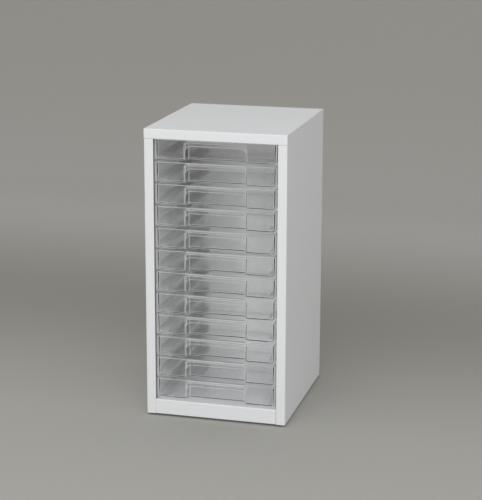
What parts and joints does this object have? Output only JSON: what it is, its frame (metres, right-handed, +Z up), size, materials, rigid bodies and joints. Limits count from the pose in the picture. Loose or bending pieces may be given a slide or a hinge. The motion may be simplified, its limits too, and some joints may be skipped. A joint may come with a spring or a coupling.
{
  "type": "sheet paper drawer cabinet",
  "caption": "Free-standing steel cabinet with an open front and a column of shallow clear drawers that slide out on ledges, for loose sheets of paper.",
  "frame": {"origin": "on the ground under the middle of the cabinet", "axes": "+Z up, +Y from the open front to the back, +X across the front to the right"},
  "size_m": [0.285, 0.325, 0.584],
  "materials": {
    "white_paint": "fine-textured satin powder coat",
    "clear_plastic": "clear, polished",
    "black_rubber": "matte"
  },
  "bodies": {
    "cabinet": {"top_panel": "white_paint", "left_side_panel": "white_paint", "right_side_panel": "white_paint", "back_panel": "white_paint", "floor_pan": "white_paint", "left_liner": "white_paint", "right_liner": "white_paint", "left_runner_01": "white_paint", "left_runner_02": "white_paint", "left_runner_03": "white_paint", "left_runner_04": "white_paint", "left_runner_05": "white_paint", "left_runner_06": "white_paint", "left_runner_07": "white_paint", "left_runner_08": "white_paint", "left_runner_09": "white_paint", "left_runner_10": "white_paint", "left_runner_11": "white_paint", "left_runner_12": "white_paint", "right_runner_01": "white_paint", "right_runner_02": "white_paint", "right_runner_03": "white_paint", "right_runner_04": "white_paint", "right_runner_05": "white_paint", "right_runner_06": "white_paint", "right_runner_07": "white_paint", "right_runner_08": "white_paint", "right_runner_09": "white_paint", "right_runner_10": "white_paint", "right_runner_11": "white_paint", "right_runner_12": "white_paint", "left_top_guide": "white_paint", "right_top_guide": "white_paint", "foot_front_left": "black_rubber", "foot_front_right": "black_rubber", "foot_rear_left": "black_rubber", "foot_rear_right": "black_rubber"},
    "drawer_01": {"drawer_01": "clear_plastic"},
    "drawer_02": {"drawer_02": "clear_plastic"},
    "drawer_03": {"drawer_03": "clear_plastic"},
    "drawer_04": {"drawer_04": "clear_plastic"},
    "drawer_05": {"drawer_05": "clear_plastic"},
    "drawer_06": {"drawer_06": "clear_plastic"},
    "drawer_07": {"drawer_07": "clear_plastic"},
    "drawer_08": {"drawer_08": "clear_plastic"},
    "drawer_09": {"drawer_09": "clear_plastic"},
    "drawer_10": {"drawer_10": "clear_plastic"},
    "drawer_11": {"drawer_11": "clear_plastic"},
    "drawer_12": {"drawer_12": "clear_plastic"}
  },
  "joints": [
    {"name": "drawer_01_slide", "type": "slide", "parent": "cabinet", "child": "drawer_01", "axis": [0, -1, 0], "range_m": [0, 0.23]},
    {"name": "drawer_02_slide", "type": "slide", "parent": "cabinet", "child": "drawer_02", "axis": [0, -1, 0], "range_m": [0, 0.23]},
    {"name": "drawer_03_slide", "type": "slide", "parent": "cabinet", "child": "drawer_03", "axis": [0, -1, 0], "range_m": [0, 0.23]},
    {"name": "drawer_04_slide", "type": "slide", "parent": "cabinet", "child": "drawer_04", "axis": [0, -1, 0], "range_m": [0, 0.23]},
    {"name": "drawer_05_slide", "type": "slide", "parent": "cabinet", "child": "drawer_05", "axis": [0, -1, 0], "range_m": [0, 0.23]},
    {"name": "drawer_06_slide", "type": "slide", "parent": "cabinet", "child": "drawer_06", "axis": [0, -1, 0], "range_m": [0, 0.23]},
    {"name": "drawer_07_slide", "type": "slide", "parent": "cabinet", "child": "drawer_07", "axis": [0, -1, 0], "range_m": [0, 0.23]},
    {"name": "drawer_08_slide", "type": "slide", "parent": "cabinet", "child": "drawer_08", "axis": [0, -1, 0], "range_m": [0, 0.23]},
    {"name": "drawer_09_slide", "type": "slide", "parent": "cabinet", "child": "drawer_09", "axis": [0, -1, 0], "range_m": [0, 0.23]},
    {"name": "drawer_10_slide", "type": "slide", "parent": "cabinet", "child": "drawer_10", "axis": [0, -1, 0], "range_m": [0, 0.23]},
    {"name": "drawer_11_slide", "type": "slide", "parent": "cabinet", "child": "drawer_11", "axis": [0, -1, 0], "range_m": [0, 0.23]},
    {"name": "drawer_12_slide", "type": "slide", "parent": "cabinet", "child": "drawer_12", "axis": [0, -1, 0], "range_m": [0, 0.23]}
  ]
}
